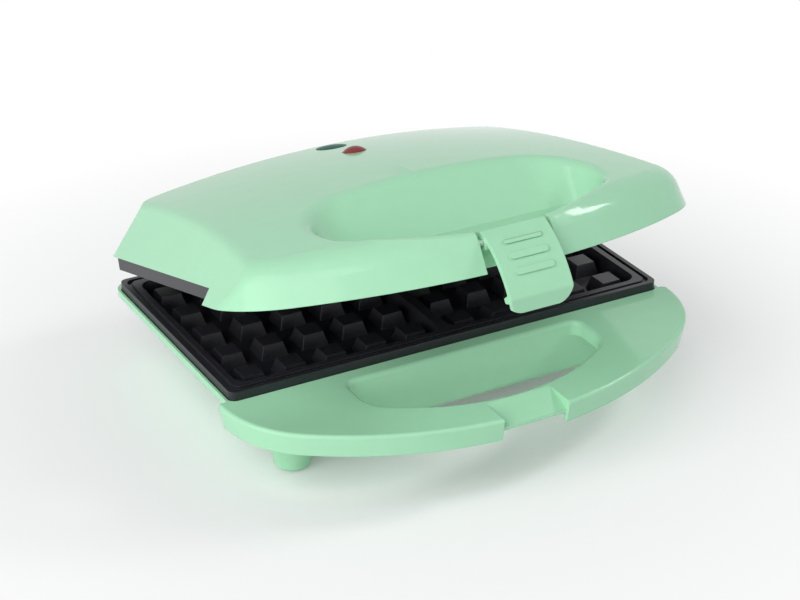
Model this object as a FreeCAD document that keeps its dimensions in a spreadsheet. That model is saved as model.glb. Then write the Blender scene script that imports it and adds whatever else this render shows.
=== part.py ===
"""Waffle maker with two moulds: hinged lid, waffle plates, heaters, lights and a swing latch.

Sizes are in millimetres. Every piece is drawn with the lid closed, in a bench frame whose
origin lies on the shelf's top face, at the middle of the lower plate's front edge: X to the
right, Y to the back, Z up. Placements then stand the part on its feet, open the lid and
swing the latch out.
"""
import math
import os
import re

import FreeCAD
import Part
import Sketcher

Vector = FreeCAD.Vector
START, END, MIDDLE = 1, 2, 3
X_AXIS, Y_AXIS = -1, -2

SIZES = [
    ("shelf_height", 40.2, "table to the shelf's top face"),
    ("lid_open", 16.25, "degrees that the lid stands open"),
    ("latch_swing", 15.5, "degrees that the latch hangs out from its hooked place"),
    ("plate_width", 225, "waffle plate, left to right"),
    ("plate_depth", 126, "waffle plate, front to back"),
    ("plate_corner", 3.5, "plan radius of the plate's corners"),
    ("rim_stand", 4.1, "lower plate's rim above the shelf"),
    ("parting_gap", 0.4, "gap between the two rims when shut"),
    ("flange_height", 6.9, "height of the plate's outer wall"),
    ("rim_width", 7, "rim from the plate's edge to the mould"),
    ("rim_groove_in", 2.2, "groove in the rim, from the plate's edge"),
    ("rim_groove_width", 1.8, "width of the groove in the rim"),
    ("rim_groove_depth", 1.2, "depth of the groove in the rim"),
    ("divider", 5, "bar between the two moulds"),
    ("mould_depth", 8.5, "rim down to the mould's floor"),
    ("mould_draft", 8, "degrees of draft on a mould's walls"),
    ("mould_corner", 6, "plan radius of a mould's corners"),
    ("pan_wall", 2, "casting thickness round a mould"),
    ("stud_count", 5, "studs along each side of a mould"),
    ("stud_base", 13.5, "side of a stud at the mould's floor"),
    ("stud_height", 6.6, "height of a stud"),
    ("stud_draft", 16, "degrees of draft on a stud"),
    ("boss_inset", 42.5, "plate bosses, in from the plate's sides"),
    ("boss_x", "=plate_width / 2 - boss_inset", "plate bosses, from the middle line"),
    ("boss_front", 44, "front bosses, from the plate's front edge"),
    ("boss_back", "=plate_depth - 38", "back bosses, from the plate's front edge"),
    ("boss_radius", 4.5, "radius of a plate boss"),
    ("boss_reach", 8, "boss height under the pan"),
    ("screw_radius", 1.75, "radius of a screw's shank"),
    ("screw_head_radius", 3.4, "radius of a screw's head"),
    ("screw_head_height", 2.2, "height of a screw's head"),
    ("screw_bite", 6.5, "length of thread in a boss"),
    ("fit_gap", 0.3, "clearance round a piece that drops in"),
    ("wall", 2.4, "moulded wall of both housings"),
    ("shelf_beyond", 6, "shelf beyond the plate's sides"),
    ("shelf_half_width", "=plate_width / 2 + shelf_beyond", "half of the shelf's width"),
    ("shelf_reach", 72, "shelf in front of the plate"),
    ("shelf_side_radius", 50, "plan radius at the shelf's ends"),
    ("shelf_shoulder", 1, "shelf behind the plate's front edge"),
    ("shelf_round", 1.5, "rounding of the shelf's edge"),
    ("skirt_height", 11, "skirt round the shelf"),
    ("skirt_draft", 10, "degrees that the skirt leans in"),
    ("slot_half_width", 61, "half of the hand slot's width"),
    ("slot_back", 8.5, "hand slot's back edge in front of the plate"),
    ("slot_front", 52.5, "hand slot's front edge in front of the plate"),
    ("slot_front_radius", 95, "plan radius of the slot's front edge"),
    ("slot_front_corner", 14, "plan radius of the slot's front corners"),
    ("slot_back_corner", 5, "plan radius of the slot's back corners"),
    ("slot_wall", 2.2, "wall round the hand slot"),
    ("slot_depth", 7, "depth of the wall round the hand slot"),
    ("slot_round", 2.2, "rounding of the hand slot's rim"),
    ("notch_width", 33, "latch notch in the shelf's front"),
    ("notch_start", 55, "notch's back end in front of the plate"),
    ("notch_lip", 68.5, "hooking lip's front face in front of the plate"),
    ("notch_drop", 5.2, "floor of the notch at the lip, below the shelf"),
    ("lip_bottom", 6.8, "underside of the hooking lip, below the shelf"),
    ("hook_room", 4, "room for the hook behind the lip's front face"),
    ("rim_out", 1.5, "base rim beyond the plate"),
    ("rim_height", 3.2, "upright part of the base rim"),
    ("tub_front", "=slot_back", "tub's front wall in front of the plate, level with the slot's back"),
    ("tub_back", 5, "tub's back wall behind the plate"),
    ("tub_depth", 27, "shelf down to the tub's underside"),
    ("tub_side_lean", 22, "tub's sides lean in by"),
    ("tub_front_lean", 0, "tub's front wall leans in by"),
    ("tub_back_lean", 7, "tub's back wall leans in by"),
    ("tub_corner", 8, "plan radius of the tub's corners"),
    ("foot_x", "=plate_width / 2 - 28.9", "front feet from the middle line"),
    ("foot_back_x", "=foot_x - 13", "back feet from the middle line"),
    ("foot_front", 0, "front feet behind the plate's front edge"),
    ("foot_back", "=plate_depth - 20", "back feet behind the plate's front edge"),
    ("foot_radius", 8.4, "radius of a foot at its end"),
    ("foot_round", 2.6, "rounding of a foot's end"),
    ("foot_draft", 8.2, "degrees of draft on a foot"),
    ("foot_top", 4, "feet start this far below the shelf"),
    ("pad_radius", 5.5, "radius of a foot's rubber pad"),
    ("pad_stand", 0.8, "rubber pad below the foot"),
    ("pad_sunk", 2, "rubber pad inside the foot"),
    ("heater_radius", 3, "radius of a heater tube"),
    ("heater_x", "=plate_width / 2 - 24.5", "heater loop, from the middle line"),
    ("clip_x", "=heater_x * 0.6", "heater straps, from the middle line"),
    ("heater_front", 28, "heater loop's front run"),
    ("heater_back", "=plate_depth - 22", "heater loop's back run"),
    ("heater_tail_x", 30, "heater's two ends, from the middle line"),
    ("heater_tail", 14, "length of the heater's ends"),
    ("heater_bend", 12, "bend radius of the heater tube"),
    ("seat_gap", 0.2, "gap under a tube that lies on a flat face"),
    ("clip_width", 8, "width of a heater strap"),
    ("clip_foot", 6, "foot of a heater strap"),
    ("clip_sheet", 0.8, "sheet of a heater strap"),
    ("reflector_width", "=plate_width - 29", "reflector tray, left to right"),
    ("reflector_front", 20, "reflector tray's front edge"),
    ("reflector_depth", "=plate_depth - 36", "reflector tray, front to back"),
    ("reflector_lip", 4, "turned-up lip of the reflector tray"),
    ("reflector_corner", 8, "plan radius of the tray's corners"),
    ("sheet_metal", 0.8, "reflector sheet"),
    ("thermostat_radius", 8, "radius of the thermostat can"),
    ("thermostat_height", 10, "height of the thermostat can"),
    ("thermostat_y", "=plate_depth / 2 + 3", "thermostat behind the plate's front edge"),
    ("fuse_radius", 2.4, "radius of the thermal fuse"),
    ("fuse_length", 16, "length of the thermal fuse"),
    ("fuse_x", 36, "thermal fuse, from the middle line"),
    ("terminal_width", 34, "terminal block, left to right"),
    ("terminal_depth", 8, "terminal block, front to back"),
    ("terminal_x", 20, "terminal block's left face, from the middle line"),
    ("terminal_height", 8, "terminal block, height"),
    ("gland_radius", 6.5, "cord inlet bush in the wall"),
    ("gland_flange", 9, "radius of the bush's flange"),
    ("gland_bore", 3.6, "radius of the cord hole"),
    ("gland_drop", 14, "cord inlet below the shelf"),
    ("gland_inside", 6, "bush inside the back wall"),
    ("gland_outside", 5, "bush outside the back wall"),
    ("hinge_behind", 19, "hinge axis behind the plate"),
    ("hinge_x", 66, "inner face of a lid hinge arm"),
    ("arm_width", 12, "width of a lid hinge arm"),
    ("lug_width", 10, "width of a base hinge lug"),
    ("side_gap", 0.4, "gap between arm and lug"),
    ("knuckle_radius", 7.5, "radius of the hinge knuckles"),
    ("pin_radius", 2.5, "radius of a hinge pin"),
    ("press_gap", 0.02, "radial gap of a fixed pin"),
    ("running_gap", 0.06, "radial gap of a turning pin"),
    ("lid_beyond", 7.5, "lid beyond the plate's sides"),
    ("lid_half_width", "=plate_width / 2 + lid_beyond", "half of the lid's width"),
    ("lid_back", "=plate_depth + tub_back", "lid's back edge behind the plate's front edge"),
    ("apron_reach", 66.4, "lid's apron in front of the plate"),
    ("apron_side_radius", 46, "plan radius at the apron's ends"),
    ("apron_bottom", 5, "apron's lower edge above the shelf"),
    ("apron_draft", 16, "degrees that the lid's walls lean in"),
    ("side_lift", 11.4, "lid's side edges above the shelf"),
    ("apron_step", 6, "step from apron to side edge, behind the plate's front edge"),
    ("roof_height", 43.4, "lid's crest above the shelf"),
    ("roof_crest", "=plate_depth - 30", "crest behind the plate's front edge"),
    ("roof_long_radius", 690, "roof's radius, front to back"),
    ("roof_cross_radius", 560, "roof's radius, left to right"),
    ("crown_blend", 15, "rounding between roof and walls"),
    ("facet_x", "=plate_width / 2 + 2", "side facet at the lid's side edge, from the middle line"),
    ("facet_round", 8, "rounding round a side facet"),
    ("facet_lean", 36, "degrees that a side facet leans in"),
    ("scoop_waist", 14, "hand hole is upright to this height"),
    ("scoop_top", 50, "height at which the flared hand hole is drawn"),
    ("scoop_half_width", 64, "half of the hand hole's width at its waist"),
    ("scoop_top_half_width", 78, "half of the flare's width"),
    ("scoop_top_back", 28, "flare's back edge behind the plate's front edge"),
    ("scoop_top_front", 72, "flare's front edge in front of the plate"),
    ("scoop_top_corner", 38, "plan radius of the flare's corners"),
    ("scoop_turn", "=(slot_front_radius - slot_front_corner) / (scoop_half_width - slot_front_corner)",
     "bow over corner, the same at the waist and the flare, so that the walls join smoothly"),
    ("scoop_top_front_radius", "=scoop_top_corner + (scoop_top_half_width - scoop_top_corner) * scoop_turn",
     "plan radius of the flare's front edge"),
    ("scoop_back_corner", 12, "plan radius of the hand hole's back corners"),
    ("scoop_rim", 9, "rounding of the hand hole's back rim"),
    ("bar_round", 2.5, "rounding of the handle bar's crest"),
    ("flare_wall", 4, "wall behind the flare, level with the table"),
    ("rib_width", 12, "seat ribs for the upper plate, front to back"),
    ("rib_inset", 4, "seat ribs reach in from the plate's edge"),
    ("ready_lens_y", "=plate_depth - 18", "ready light behind the plate's front edge"),
    ("ready_lens_radius", 7.5, "radius of the ready light"),
    ("ready_lens_stand", 0.8, "ready light above the crest"),
    ("power_lens_y", "=plate_depth - 43", "power light behind the plate's front edge"),
    ("power_lens_radius", 5.8, "radius of the power light"),
    ("power_lens_stand", 2.4, "power light above the crest"),
    ("lens_flange", 1.6, "flange of a lens beyond its body"),
    ("lens_stem", 10, "hollow stem of a lens below the roof"),
    ("lamp_radius", 2.8, "radius of a neon lamp"),
    ("lamp_length", 12, "length of a neon lamp"),
    ("latch_width", 31, "latch, left to right"),
    ("latch_gap", 2.5, "gap beside the latch in the handle bar"),
    ("pivot_reach", 59.5, "latch pivot in front of the plate"),
    ("pivot_height", 17.5, "latch pivot above the shelf"),
    ("barrel_radius", 3.6, "radius of the latch's barrel"),
    ("latch_pin_radius", 1.5, "radius of the latch pin"),
    ("latch_sheet", 2.4, "thickness of the latch"),
    ("latch_bow", 51, "radius of the latch's bowed face"),
    ("latch_top", 4.6, "latch above its pivot"),
    ("latch_tab", 8.4, "finger tab below the hook"),
    ("latch_tab_in", 4.6, "finger tab's end behind the latch's face"),
    ("latch_corner", 7, "rounding of the finger tab's corners"),
    ("hook_reach", 3, "hook behind the lip's front face"),
    ("hook_slope", 0.65, "hook's nose below its root, so that it swings clear of the lip"),
    ("grip_count", 3, "raised grip ribs on the latch"),
    ("grip_length", 19, "grip rib, left to right"),
    ("grip_width", 3, "grip rib, height"),
    ("grip_raise", 0.7, "grip rib above the latch's face"),
    ("grip_pitch", 7, "distance between grip ribs"),
    ("grip_top", 1.8, "top grip rib below the pivot"),
    ("cheek", 3, "cheeks that hold the latch pin"),
]
NAMES = {name for name, value, meaning in SIZES}

doc = FreeCAD.newDocument("waffle_maker")
sheet = doc.addObject("Spreadsheet::Sheet", "Sizes")
for row, (name, value, meaning) in enumerate(SIZES, start=1):
    sheet.set(f"A{row}", meaning)
    sheet.set(f"B{row}", str(value))
    sheet.setAlias(f"B{row}", name)
doc.recompute()

# Sizes that several pieces share, as formulas of the sheet
PARTING = "rim_stand + parting_gap / 2"
RIM_TOP = "rim_stand"
MOULD_FLOOR = "rim_stand - mould_depth"
PAN_BOTTOM = "rim_stand - mould_depth - pan_wall"
BOSS_BOTTOM = "rim_stand - mould_depth - pan_wall - boss_reach"
TUB_FLOOR = "wall - tub_depth"
HINGE_Y = "plate_depth + hinge_behind"
TUB_LENGTH = "tub_front + plate_depth + tub_back"
MOULD_WIDTH = "plate_width / 2 - rim_width - divider / 2"
MOULD_LENGTH = "plate_depth - 2 * rim_width"
TUBE_MIDDLE = "rim_stand - mould_depth - pan_wall - seat_gap - heater_radius"
HOOK = "-lip_bottom - fit_gap"


def bound(formula):
    """The formula with each size's name pointed at the sheet."""
    def point(match):
        word = match.group()
        return "Sizes." + word if word in NAMES else word
    return re.sub(r"[a-z_]+", point, str(formula))


def number(formula):
    """The formula's value."""
    return float(sheet.evalExpression(bound(formula)))


def bind(thing, sizes):
    """Ties properties of a document object to formulas."""
    for prop, formula in sizes.items():
        thing.setExpression(prop, bound(formula))
    return thing


# Sketches

def new_body(name):
    return doc.addObject("PartDesign::Body", name)


def origin_plane(body, role):
    return [part for part in body.Origin.OriginFeatures if part.Role == role][0]


def new_sketch(body, name, role="XY_Plane", level="0", lift="0"):
    """A sketch on an origin plane, moved along the plane's normal by level and up by lift."""
    sketch = body.newObject("Sketcher::SketchObject", name)
    sketch.AttachmentSupport = [(origin_plane(body, role), "")]
    sketch.MapMode = "FlatFace"
    bind(sketch, {"AttachmentOffset.Base.z": level, "AttachmentOffset.Base.y": lift})
    return sketch


def hold(sketch, kind, places, formula):
    """A dimension of the sketch, tied to a formula."""
    index = sketch.addConstraint(Sketcher.Constraint(kind, *places, number(formula)))
    sketch.setExpression(f"Constraints[{index}]", bound(formula))


def place(sketch, piece, point, x=None, y=None):
    """Holds a point of the sketch at x and y from its origin."""
    for kind, formula, axis in (("DistanceX", x, Y_AXIS), ("DistanceY", y, X_AXIS)):
        if formula is None:
            continue
        value = number(formula)
        if abs(value) < 1e-9:
            sketch.addConstraint(Sketcher.Constraint("PointOnObject", piece, point, axis))
        elif value > 0:
            hold(sketch, kind, (-1, START, piece, point), formula)
        else:
            hold(sketch, kind, (piece, point, -1, START), f"-({formula})")


def segment(a, b):
    return Part.LineSegment(Vector(*a, 0), Vector(*b, 0))


def arc(middle, radius, first, last):
    """An arc, counter-clockwise between two angles in degrees."""
    circle = Part.Circle(Vector(*middle, 0), Vector(0, 0, 1), radius)
    return Part.ArcOfCircle(circle, math.radians(first), math.radians(last))


def add_loop(sketch, pieces, corners=()):
    """Joins pieces end to end: smoothly, but for the joints after the pieces in corners."""
    first = sketch.GeometryCount
    for piece in pieces:
        sketch.addGeometry(piece)
    for index in range(len(pieces)):
        other = first + (index + 1) % len(pieces)
        kind = "Coincident" if index in corners else "Tangent"
        sketch.addConstraint(Sketcher.Constraint(kind, first + index, END, other, START))
    return first


def link(sketch, kind, *places):
    sketch.addConstraint(Sketcher.Constraint(kind, *places))


def polygon(sketch, points):
    """A straight-sided outline whose corners are formulas."""
    corners = [(number(x), number(y)) for x, y in points]
    count = len(corners)
    sides = [segment(corners[i], corners[(i + 1) % count]) for i in range(count)]
    first = add_loop(sketch, sides, range(count))
    for index, (x, y) in enumerate(points):
        place(sketch, first + index, START, x, y)


def circle(sketch, x, y, radius):
    index = sketch.addGeometry(Part.Circle(Vector(number(x), number(y), 0), Vector(0, 0, 1), number(radius)))
    place(sketch, index, MIDDLE, x, y)
    hold(sketch, "Radius", (index,), radius)


def rounded_rectangle(sketch, left, front, width, length, corner):
    """An upright rectangle with four equal round corners."""
    x, y, w, d, r = [number(part) for part in (left, front, width, length, corner)]
    first = add_loop(sketch, [
        segment((x + r, y), (x + w - r, y)), arc((x + w - r, y + r), r, -90, 0),
        segment((x + w, y + r), (x + w, y + d - r)), arc((x + w - r, y + d - r), r, 0, 90),
        segment((x + w - r, y + d), (x + r, y + d)), arc((x + r, y + d - r), r, 90, 180),
        segment((x, y + d - r), (x, y + r)), arc((x + r, y + r), r, 180, 270)])
    for side, kind in ((0, "Horizontal"), (2, "Vertical"), (4, "Horizontal"), (6, "Vertical")):
        link(sketch, kind, first + side)
    for bend in (3, 5, 7):
        link(sketch, "Equal", first + 1, first + bend)
    hold(sketch, "Radius", (first + 1,), corner)
    place(sketch, first + 6, START, x=left)
    place(sketch, first, START, y=front)
    hold(sketch, "DistanceX", (first + 6, START, first + 2, START), width)
    hold(sketch, "DistanceY", (first, START, first + 4, START), length)


def bowed_front(sketch, half_width, reach, side_radius, back):
    """A plan with a bowed front of three arcs, straight sides and a straight back."""
    a, b, r, y = [number(part) for part in (half_width, reach, side_radius, back)]
    middle = ((a - r) ** 2 - (b - r) ** 2) / (2 * (b - r))
    angle = math.degrees(math.atan2(middle, a - r))
    first = add_loop(sketch, [
        arc((0, middle), b + middle, 180 + angle, 360 - angle), arc((a - r, 0), r, -angle, 0),
        segment((a, 0), (a, y)), segment((a, y), (-a, y)), segment((-a, y), (-a, 0)),
        arc((r - a, 0), r, 180, 180 + angle)], corners=(2, 3))
    link(sketch, "Vertical", first + 2)
    link(sketch, "Vertical", first + 4)
    link(sketch, "Symmetric", first + 3, START, first + 3, END, Y_AXIS)
    link(sketch, "Equal", first + 1, first + 5)
    hold(sketch, "Radius", (first + 1,), side_radius)
    link(sketch, "PointOnObject", first + 1, MIDDLE, X_AXIS)
    link(sketch, "PointOnObject", first + 5, MIDDLE, X_AXIS)
    place(sketch, first + 3, START, half_width, back)
    nose(sketch, first, reach)


def nose(sketch, bow, reach):
    """Holds the front of a bowed edge at its reach in front of the origin."""
    point = sketch.addGeometry(Part.Point(Vector(0, -number(reach), 0)))
    link(sketch, "PointOnObject", point, START, bow)
    place(sketch, point, START, "0", f"-({reach})")


def hand_outline(sketch, half_width, back, front, bow, front_corner, back_corner):
    """The hand hole's plan: a straight back, upright ends and a bowed front, all with round corners."""
    w, y, f, big, r, q = [number(part) for part in
                          (half_width, back, front, bow, front_corner, back_corner)]
    middle = big - f
    rise = math.sqrt((big - r) ** 2 - (w - r) ** 2)
    turn = math.degrees(math.atan2(rise, w - r))
    bend = middle - rise
    first = add_loop(sketch, [
        arc((0, middle), big, 180 + turn, 360 - turn), arc((w - r, bend), r, -turn, 0),
        segment((w, bend), (w, y - q)), arc((w - q, y - q), q, 0, 90),
        segment((w - q, y), (q - w, y)), arc((q - w, y - q), q, 90, 180),
        segment((-w, y - q), (-w, bend)), arc((r - w, bend), r, 180, 180 + turn)])
    link(sketch, "Vertical", first + 2)
    link(sketch, "Vertical", first + 6)
    link(sketch, "Symmetric", first + 4, START, first + 4, END, Y_AXIS)
    link(sketch, "Equal", first + 1, first + 7)
    link(sketch, "Equal", first + 3, first + 5)
    for piece, radius in ((0, bow), (1, front_corner), (3, back_corner)):
        hold(sketch, "Radius", (first + piece,), radius)
    place(sketch, first + 2, START, x=half_width)
    place(sketch, first + 4, START, y=back)
    nose(sketch, first, front)


# Features

def extrude(body, kind, sketch, length, up=True, taper=None, both=False):
    """A pad or pocket of a sketch, along the plane's normal or against it."""
    feature = body.newObject("PartDesign::" + kind, sketch.Name + "_" + kind.lower())
    feature.Profile = sketch
    bind(feature, {"Length": length})
    feature.Reversed = up == (kind == "Pocket")
    if taper:
        bind(feature, {"TaperAngle": taper})
    if both:
        feature.SideType = "Symmetric"
    return feature


def loft(body, kind, name, sketches):
    feature = body.newObject("PartDesign::" + kind, name)
    feature.Profile = sketches[0]
    feature.Sections = sketches[1:]
    feature.Ruled = True
    return feature


def mirror(body, name, features):
    """Repeats features on the other side of the middle plane."""
    feature = body.newObject("PartDesign::Mirrored", name)
    feature.Originals = features
    feature.MirrorPlane = (origin_plane(body, "YZ_Plane"), [""])
    body.Tip = feature
    return feature


def edge_names(shape, wanted):
    return [f"Edge{i}" for i, edge in enumerate(shape.Edges, start=1) if wanted(edge)]


def round_edges(body, name, wanted, radius):
    """Rounds the edges of the body's last feature that are wanted."""
    doc.recompute()
    base = body.Tip
    feature = body.newObject("PartDesign::Fillet", name)
    feature.Base = (base, edge_names(base.Shape, wanted))
    bind(feature, {"Radius": radius})
    return feature


def block(name, size, corner):
    """A box from its size and its lowest corner."""
    box = doc.addObject("Part::Box", name)
    bind(box, dict(zip(("Length", "Width", "Height"), size)))
    return bind(box, dict(zip(("Placement.Base.x", "Placement.Base.y", "Placement.Base.z"), corner)))


TURN = {"x": FreeCAD.Rotation(Vector(0, 1, 0), 90), "y": FreeCAD.Rotation(Vector(1, 0, 0), -90),
        "z": FreeCAD.Rotation()}


def rod(name, radius, length, base, along="z"):
    """A cylinder from the middle of its first end, along an axis."""
    cylinder = doc.addObject("Part::Cylinder", name)
    cylinder.Placement = FreeCAD.Placement(Vector(), TURN[along])
    bind(cylinder, {"Radius": radius, "Height": length})
    return bind(cylinder, dict(zip(("Placement.Base.x", "Placement.Base.y", "Placement.Base.z"), base)))


def cut(name, base, tool):
    result = doc.addObject("Part::Cut", name)
    result.Base, result.Tool = base, tool
    return result


def fuse(name, parts):
    result = doc.addObject("Part::MultiFuse", name)
    result.Shapes = parts
    result.Refine = False
    return result


def group(name, parts):
    """Separate solids that share one node."""
    result = doc.addObject("Part::Compound", name)
    result.Links = parts
    return result


# Base

def tub_outline(sketch, lean, inset):
    """The tub's plan, leaning in by a share of its full lean, with a wall's inset."""
    side = f"plate_width / 2 + rim_out - {lean} * tub_side_lean - {inset}"
    front = f"-tub_front + {lean} * tub_front_lean + {inset}"
    length = f"{TUB_LENGTH} - {lean} * (tub_front_lean + tub_back_lean) - 2 * {inset}"
    rounded_rectangle(sketch, f"-({side})", front, f"2 * ({side})", length, "tub_corner")


def foot_places():
    return [(side + x, y) for x, y in (("foot_x", "foot_front"), ("foot_back_x", "foot_back"))
            for side in ("-", "")]


def slot_rim(edge):
    """Whether an edge runs round the top of the hand slot."""
    box = edge.BoundBox
    inside = box.XMax < number("slot_half_width") + 0.1 and box.XMin > -number("slot_half_width") - 0.1
    between = box.YMax < 0.1 - number("slot_back") and box.YMin > -number("slot_front") - 0.1
    return box.ZMin > -0.01 and inside and between


def base_housing():
    body = new_body("base_housing_body")
    shelf = new_sketch(body, "shelf_plan")
    bowed_front(shelf, "shelf_half_width", "shelf_reach", "shelf_side_radius", "shelf_shoulder")
    extrude(body, "Pad", shelf, "skirt_height", up=False, taper="-skirt_draft")
    round_edges(body, "shelf_edge", lambda edge: edge.BoundBox.ZMin > -0.01 and edge.BoundBox.YMin < 0,
                "shelf_round")

    hollow = new_sketch(body, "shelf_hollow", level="-skirt_height")
    inset = "(wall + skirt_height * tan(skirt_draft))"
    bowed_front(hollow, f"shelf_half_width - {inset}", f"shelf_reach - {inset}",
                f"shelf_side_radius - {inset}",
                "shelf_shoulder / 2")
    extrude(body, "Pocket", hollow, "skirt_height - wall", up=True)

    ring = new_sketch(body, "slot_ring")
    hand_outline(ring, "slot_half_width + slot_wall", "slot_wall - slot_back", "slot_front + slot_wall",
                 "slot_front_radius + slot_wall", "slot_front_corner + slot_wall",
                 "slot_back_corner + slot_wall")
    extrude(body, "Pad", ring, "slot_depth", up=False)
    lip = new_sketch(body, "lip_block")
    half = "notch_width / 2 + slot_wall"
    polygon(lip, [(f"-({half})", "-notch_lip"), (half, "-notch_lip"), (half, "-slot_front"),
                  (f"-({half})", "-slot_front")])
    extrude(body, "Pad", lip, "lip_bottom", up=False)

    feet = new_sketch(body, "feet", level="pad_stand - shelf_height")
    for x, y in foot_places():
        circle(feet, x, y, "foot_radius")
    rim = new_sketch(body, "tub_rim")
    tub_outline(rim, "0", "0")
    extrude(body, "Pad", rim, "rim_height", up=False)
    upper = new_sketch(body, "tub_upper", level="-rim_height")
    tub_outline(upper, "0", "0")
    lower = new_sketch(body, "tub_lower", level="-tub_depth")
    tub_outline(lower, "1", "0")
    loft(body, "AdditiveLoft", "tub", [upper, lower])
    round_edges(body, "tub_edge", lambda edge: abs(edge.BoundBox.ZMax + number("tub_depth")) < 0.01,
                "tub_corner / 2")
    extrude(body, "Pad", feet, "shelf_height - pad_stand - foot_top", up=True, taper="foot_draft")
    round_edges(body, "feet_edge",
                lambda edge: abs(edge.BoundBox.ZMax + number("shelf_height - pad_stand")) < 0.01,
                "foot_round")

    mouth = new_sketch(body, "plate_mouth")
    side = "plate_width / 2 + fit_gap"
    rounded_rectangle(mouth, f"-({side})", "-fit_gap", f"2 * ({side})", "plate_depth + 2 * fit_gap",
                      "plate_corner + fit_gap")
    extrude(body, "Pocket", mouth, "rim_height", up=False)
    inner = new_sketch(body, "cavity_upper", level="-rim_height")
    tub_outline(inner, "0.02", "wall")
    floor = new_sketch(body, "cavity_lower", level=TUB_FLOOR)
    tub_outline(floor, "0.97", "wall")
    loft(body, "SubtractiveLoft", "cavity", [inner, floor])

    slot = new_sketch(body, "hand_slot")
    hand_outline(slot, "slot_half_width", "-slot_back", "slot_front", "slot_front_radius",
                 "slot_front_corner",
                 "slot_back_corner")
    extrude(body, "Pocket", slot, "skirt_height * 2", up=False)
    round_edges(body, "slot_edge", slot_rim, "slot_round")
    notch = new_sketch(body, "latch_notch", role="YZ_Plane")
    polygon(notch, [("-notch_start", "0"), ("-notch_lip", "-notch_drop"), ("-notch_lip", "-lip_bottom"),
                    ("hook_room - notch_lip", "-lip_bottom"), ("hook_room - notch_lip", "-2 * skirt_height"),
                    ("-shelf_reach - wall", "-2 * skirt_height"), ("-shelf_reach - wall", "wall"),
                    ("-notch_start", "wall")])
    extrude(body, "Pocket", notch, "notch_width", both=True)

    posts = new_sketch(body, "screw_posts", level="-tub_depth")
    holes = new_sketch(body, "screw_holes", level="-tub_depth")
    sinks = new_sketch(body, "screw_sinks", level="-tub_depth")
    for x, y in boss_places():
        circle(posts, x, y, "boss_radius + wall / 2")
        circle(holes, x, y, "screw_radius + fit_gap")
        circle(sinks, x, y, "screw_head_radius + fit_gap")
    post_height = f"tub_depth + {BOSS_BOTTOM} - sheet_metal"
    extrude(body, "Pad", posts, post_height, up=True)
    extrude(body, "Pocket", holes, post_height, up=True)
    extrude(body, "Pocket", sinks, f"{post_height} - wall", up=True)
    pads = new_sketch(body, "pad_holes", level="pad_stand - shelf_height")
    for x, y in foot_places():
        circle(pads, x, y, "pad_radius + press_gap")
    extrude(body, "Pocket", pads, "pad_sunk", up=True)

    lug = new_sketch(body, "hinge_lug", role="YZ_Plane", level="hinge_x + arm_width + side_gap")
    knuckle_profile(lug, "plate_depth + tub_back - wall / 2", "-tub_depth / 2", "-rim_height")
    lug_pad = extrude(body, "Pad", lug, "lug_width")
    bore = new_sketch(body, "lug_bore", role="YZ_Plane", level="hinge_x + arm_width + side_gap")
    circle(bore, HINGE_Y, PARTING, "pin_radius + press_gap")
    lug_bore = extrude(body, "Pocket", bore, "lug_width", up=True)
    mirror(body, "both_lugs", [lug_pad, lug_bore])
    inlet = new_sketch(body, "cord_inlet", role="XZ_Plane", level="-(plate_depth - tub_back_lean)")
    circle(inlet, "0", "-gland_drop", "gland_radius + press_gap")
    extrude(body, "Pocket", inlet, "tub_back + tub_back_lean + gland_outside", up=False)
    return body


def knuckle_profile(sketch, wall_y, low, high):
    """A hinge knuckle: a round eye on the hinge axis, drawn out to a foot on a housing's back wall."""
    eye = (number(HINGE_Y), number(PARTING))
    r, y, a, b = [number(part) for part in ("knuckle_radius", wall_y, low, high)]
    angles = []
    for z, sign in ((a, 1), (b, -1)):
        dy, dz = y - eye[0], z - eye[1]
        reach = math.hypot(dy, dz)
        angles.append(math.degrees(math.atan2(dz, dy) + sign * math.acos(r / reach)))
    start, stop = angles[0] % 360, angles[1] % 360
    if start > stop:
        start -= 360
    tips = [(eye[0] + r * math.cos(math.radians(t)), eye[1] + r * math.sin(math.radians(t)))
            for t in (start, stop)]
    first = add_loop(sketch, [arc(eye, r, start, stop), segment(tips[1], (y, b)), segment((y, b), (y, a)),
                              segment((y, a), tips[0])], corners=(1, 2))
    place(sketch, first, MIDDLE, HINGE_Y, PARTING)
    hold(sketch, "Radius", (first,), "knuckle_radius")
    place(sketch, first + 2, START, wall_y, high)
    place(sketch, first + 2, END, wall_y, low)


def boss_places():
    return [(x, y) for x in ("-boss_x", "boss_x") for y in ("boss_front", "boss_back")]


# Plates, heaters and what holds them

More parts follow.
